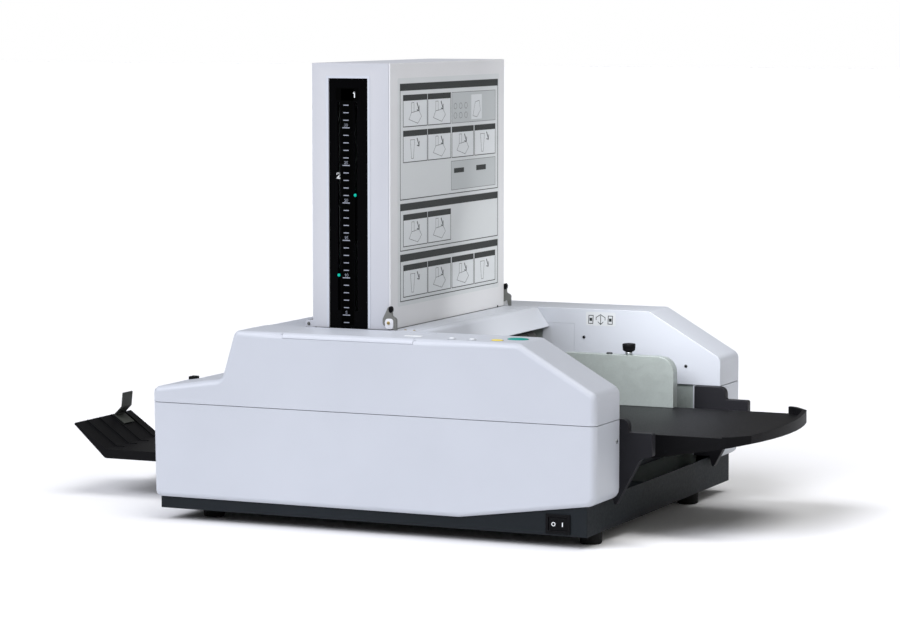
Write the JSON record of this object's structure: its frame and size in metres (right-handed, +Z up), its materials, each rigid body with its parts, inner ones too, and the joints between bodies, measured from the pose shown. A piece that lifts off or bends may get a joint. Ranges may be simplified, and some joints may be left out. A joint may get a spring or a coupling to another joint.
{
  "type": "paper folding machine",
  "caption": "Desk paper folding machine with a fold tower, scale stoppers, feed hood, lifting feed table with side guides, fold roller train and a folding delivery tray.",
  "frame": {"origin": "centre of the bounding box in plan, at the bottom of the feet", "axes": "+X from the delivery end to the feed end, +Y from the operator's side to the rear, +Z up"},
  "size_m": [1.022, 0.56, 0.614],
  "materials": {
    "cover_plastic": "satin moulded",
    "lid_plastic": "satin moulded",
    "painted_steel": "powder coat",
    "dark_steel": "dark powder coat",
    "black_plastic": "fine grain",
    "grey_plastic": "fine grain",
    "zinc_steel": "galvanised",
    "bright_steel": "ground",
    "black_rubber": "matt",
    "window_gloss": "gloss",
    "teal_plastic": "satin",
    "yellow_plastic": "satin",
    "white_plastic": "satin"
  },
  "bodies": {
    "machine": {"front_upper_cover": "cover_plastic", "rear_upper_cover": "cover_plastic", "front_lower_cover": "cover_plastic", "rear_lower_cover": "cover_plastic", "bridge_plate": "lid_plastic", "base_pan": "dark_steel", "drive_motor": "dark_steel", "front_feed_bracket": "black_plastic", "rear_feed_bracket": "black_plastic", "switch_bezel": "black_plastic", "power_inlet": "black_plastic", "hinge_beam": "grey_plastic", "front_frame_plate": "zinc_steel", "rear_frame_plate": "zinc_steel", "tie_bar_1": "zinc_steel", "tie_bar_2": "zinc_steel", "delivery_chute": "zinc_steel", "paper_fence": "zinc_steel", "drive_belt": "black_rubber", "foot_1": "black_rubber", "foot_2": "black_rubber", "foot_3": "black_rubber", "foot_4": "black_rubber"},
    "tower": {"tower_shell": "painted_steel", "tower_side_panel": "painted_steel", "scale_window": "window_gloss", "fold_plate_1": "zinc_steel", "fold_plate_2": "zinc_steel", "guide_rod_1": "bright_steel", "guide_rod_2": "bright_steel"},
    "stopper_1": {"stopper_1": "black_plastic"},
    "stopper_2": {"stopper_2": "black_plastic"},
    "front_latch": {"front_latch": "zinc_steel"},
    "rear_latch": {"rear_latch": "zinc_steel"},
    "panel_lid": {"panel_lid": "lid_plastic"},
    "feed_hood": {"feed_hood": "lid_plastic"},
    "delivery_cover": {"delivery_cover": "cover_plastic"},
    "delivery_tray": {"delivery_tray": "black_plastic"},
    "tray_stopper": {"tray_stopper": "grey_plastic"},
    "feed_table": {"feed_table": "black_plastic"},
    "front_side_guide": {"front_side_guide": "zinc_steel"},
    "rear_side_guide": {"rear_side_guide": "zinc_steel"},
    "guide_knob": {"guide_knob": "black_plastic"},
    "lift_shaft": {"lift_shaft": "bright_steel"},
    "feed_roller": {"feed_roller": "black_rubber"},
    "pick_arm": {"pick_arm": "grey_plastic"},
    "pick_roller": {"pick_roller": "black_rubber"},
    "fold_roller_1": {"fold_roller_1": "black_rubber"},
    "fold_roller_2": {"fold_roller_2": "black_rubber"},
    "fold_roller_3": {"fold_roller_3": "black_rubber"},
    "fold_roller_4": {"fold_roller_4": "black_rubber"},
    "fold_roller_5": {"fold_roller_5": "black_rubber"},
    "motor_shaft": {"motor_shaft": "bright_steel"},
    "delivery_roller_upper": {"delivery_roller_upper": "black_rubber"},
    "delivery_roller_lower": {"delivery_roller_lower": "black_rubber"},
    "start_button": {"start_button": "teal_plastic"},
    "stop_button": {"stop_button": "yellow_plastic"},
    "white_button_left": {"white_button_left": "white_plastic"},
    "white_button_right": {"white_button_right": "white_plastic"},
    "power_rocker": {"power_rocker": "black_plastic"}
  },
  "joints": [
    {"name": "tower_tilt", "type": "hinge", "parent": "machine", "child": "tower", "pos_m": [-0.104, 0, 0.265], "axis": [0, -1, 0], "range_deg": [0, 35]},
    {"name": "front_latch_turn", "type": "hinge", "parent": "tower", "child": "front_latch", "pos_m": [0.0125, -0.193, 0.271], "axis": [0, -1, 0], "range_deg": [0, 35]},
    {"name": "rear_latch_turn", "type": "hinge", "parent": "tower", "child": "rear_latch", "pos_m": [0.0125, 0.193, 0.271], "axis": [0, -1, 0], "range_deg": [0, 35]},
    {"name": "stopper_1_slide", "type": "slide", "parent": "tower", "child": "stopper_1", "axis": [0, 0, 1], "range_m": [-0.15, 0.119]},
    {"name": "stopper_2_slide", "type": "slide", "parent": "tower", "child": "stopper_2", "axis": [0, 0, 1], "range_m": [-0.043, 0.226]},
    {"name": "panel_lid_hinge", "type": "hinge", "parent": "machine", "child": "panel_lid", "pos_m": [-0.004, -0.2039, 0.2574], "axis": [-1, 0, 0], "range_deg": [0, 85]},
    {"name": "feed_hood_hinge", "type": "hinge", "parent": "machine", "child": "feed_hood", "pos_m": [0.057, 0, 0.26], "axis": [0, -1, 0], "range_deg": [0, 70]},
    {"name": "delivery_cover_hinge", "type": "hinge", "parent": "machine", "child": "delivery_cover", "pos_m": [-0.112, 0, 0.25875], "axis": [0, 1, 0], "range_deg": [0, 60]},
    {"name": "delivery_tray_fold", "type": "hinge", "parent": "machine", "child": "delivery_tray", "pos_m": [-0.293, 0, 0.059], "axis": [0, 1, 0], "range_deg": [0, 70]},
    {"name": "tray_stopper_slide", "type": "slide", "parent": "delivery_tray", "child": "tray_stopper", "axis": [0.8192, 0, -0.5735], "range_m": [0, 0.02]},
    {"name": "feed_table_lift", "type": "slide", "parent": "machine", "child": "feed_table", "axis": [0, 0, 1], "range_m": [0, 0.05]},
    {"name": "lift_shaft_turn", "type": "hinge", "parent": "machine", "child": "lift_shaft", "pos_m": [0.175, 0, 0.08], "axis": [0, -1, 0], "range_deg": [0, 239]},
    {"name": "front_guide_slide", "type": "slide", "parent": "feed_table", "child": "front_side_guide", "axis": [0, 1, 0], "range_m": [-0.01, 0.07]},
    {"name": "rear_guide_slide", "type": "slide", "parent": "feed_table", "child": "rear_side_guide", "axis": [0, -1, 0], "range_m": [-0.01, 0.07]},
    {"name": "guide_knob_turn", "type": "hinge", "parent": "rear_side_guide", "child": "guide_knob", "pos_m": [0.231, 0.136, 0.21], "axis": [0, 0, 1], "range_deg": [0, 180]},
    {"name": "fold_roller_3_spin", "type": "hinge", "parent": "machine", "child": "fold_roller_3", "pos_m": [-0.053, 0, 0.21], "axis": [0, 1, 0], "continuous": true},
    {"name": "fold_roller_1_spin", "type": "hinge", "parent": "machine", "child": "fold_roller_1", "pos_m": [-0.001, 0, 0.21], "axis": [0, 1, 0], "continuous": true},
    {"name": "fold_roller_2_spin", "type": "hinge", "parent": "machine", "child": "fold_roller_2", "pos_m": [-0.027, 0, 0.21], "axis": [0, 1, 0], "continuous": true},
    {"name": "fold_roller_4_spin", "type": "hinge", "parent": "machine", "child": "fold_roller_4", "pos_m": [-0.079, 0, 0.21], "axis": [0, 1, 0], "continuous": true},
    {"name": "fold_roller_5_spin", "type": "hinge", "parent": "machine", "child": "fold_roller_5", "pos_m": [-0.105, 0, 0.21], "axis": [0, 1, 0], "continuous": true},
    {"name": "motor_spin", "type": "hinge", "parent": "machine", "child": "motor_shaft", "pos_m": [-0.053, 0, 0.1892], "axis": [0, 1, 0], "continuous": true},
    {"name": "feed_roller_spin", "type": "hinge", "parent": "machine", "child": "feed_roller", "pos_m": [0.069, 0, 0.212], "axis": [0, 1, 0], "continuous": true},
    {"name": "pick_arm_swing", "type": "hinge", "parent": "machine", "child": "pick_arm", "pos_m": [0.069, 0, 0.212], "axis": [0, -1, 0], "range_deg": [0, 20]},
    {"name": "pick_roller_spin", "type": "hinge", "parent": "pick_arm", "child": "pick_roller", "pos_m": [0.113, 0, 0.207], "axis": [0, 1, 0], "continuous": true},
    {"name": "delivery_upper_spin", "type": "hinge", "parent": "machine", "child": "delivery_roller_upper", "pos_m": [-0.239, 0, 0.1243], "axis": [0, 1, 0], "continuous": true},
    {"name": "delivery_lower_spin", "type": "hinge", "parent": "machine", "child": "delivery_roller_lower", "pos_m": [-0.239, 0, 0.0997], "axis": [0, 1, 0], "continuous": true},
    {"name": "start_button_press", "type": "slide", "parent": "machine", "child": "start_button", "axis": [0, 0, 1], "range_m": [-0.0015, 0], "stiffness_N_per_m": 300, "springref_m": 0.001},
    {"name": "stop_button_press", "type": "slide", "parent": "machine", "child": "stop_button", "axis": [0, 0, 1], "range_m": [-0.0015, 0], "stiffness_N_per_m": 300, "springref_m": 0.001},
    {"name": "left_button_press", "type": "slide", "parent": "machine", "child": "white_button_left", "axis": [0, 0, 1], "range_m": [-0.0015, 0], "stiffness_N_per_m": 300, "springref_m": 0.001},
    {"name": "right_button_press", "type": "slide", "parent": "machine", "child": "white_button_right", "axis": [0, 0, 1], "range_m": [-0.0015, 0], "stiffness_N_per_m": 300, "springref_m": 0.001},
    {"name": "power_rocker_tilt", "type": "hinge", "parent": "machine", "child": "power_rocker", "pos_m": [0.2924, -0.271, 0.0315], "axis": [0, 0, -1], "range_deg": [0, 16]}
  ],
  "couplings": [
    {"joint": "lift_shaft_turn", "follows": "feed_table_lift", "rad_per_m": 83.333},
    {"joint": "rear_guide_slide", "follows": "front_guide_slide", "ratio": 1},
    {"joint": "fold_roller_1_spin", "follows": "fold_roller_3_spin", "ratio": 1},
    {"joint": "fold_roller_2_spin", "follows": "fold_roller_3_spin", "ratio": -1},
    {"joint": "fold_roller_4_spin", "follows": "fold_roller_3_spin", "ratio": -1},
    {"joint": "fold_roller_5_spin", "follows": "fold_roller_3_spin", "ratio": 1},
    {"joint": "motor_spin", "follows": "fold_roller_3_spin", "ratio": -1.6667},
    {"joint": "feed_roller_spin", "follows": "fold_roller_3_spin", "ratio": 1},
    {"joint": "pick_roller_spin", "follows": "fold_roller_3_spin", "ratio": 1},
    {"joint": "delivery_lower_spin", "follows": "fold_roller_3_spin", "ratio": 1},
    {"joint": "delivery_upper_spin", "follows": "fold_roller_3_spin", "ratio": -1}
  ]
}
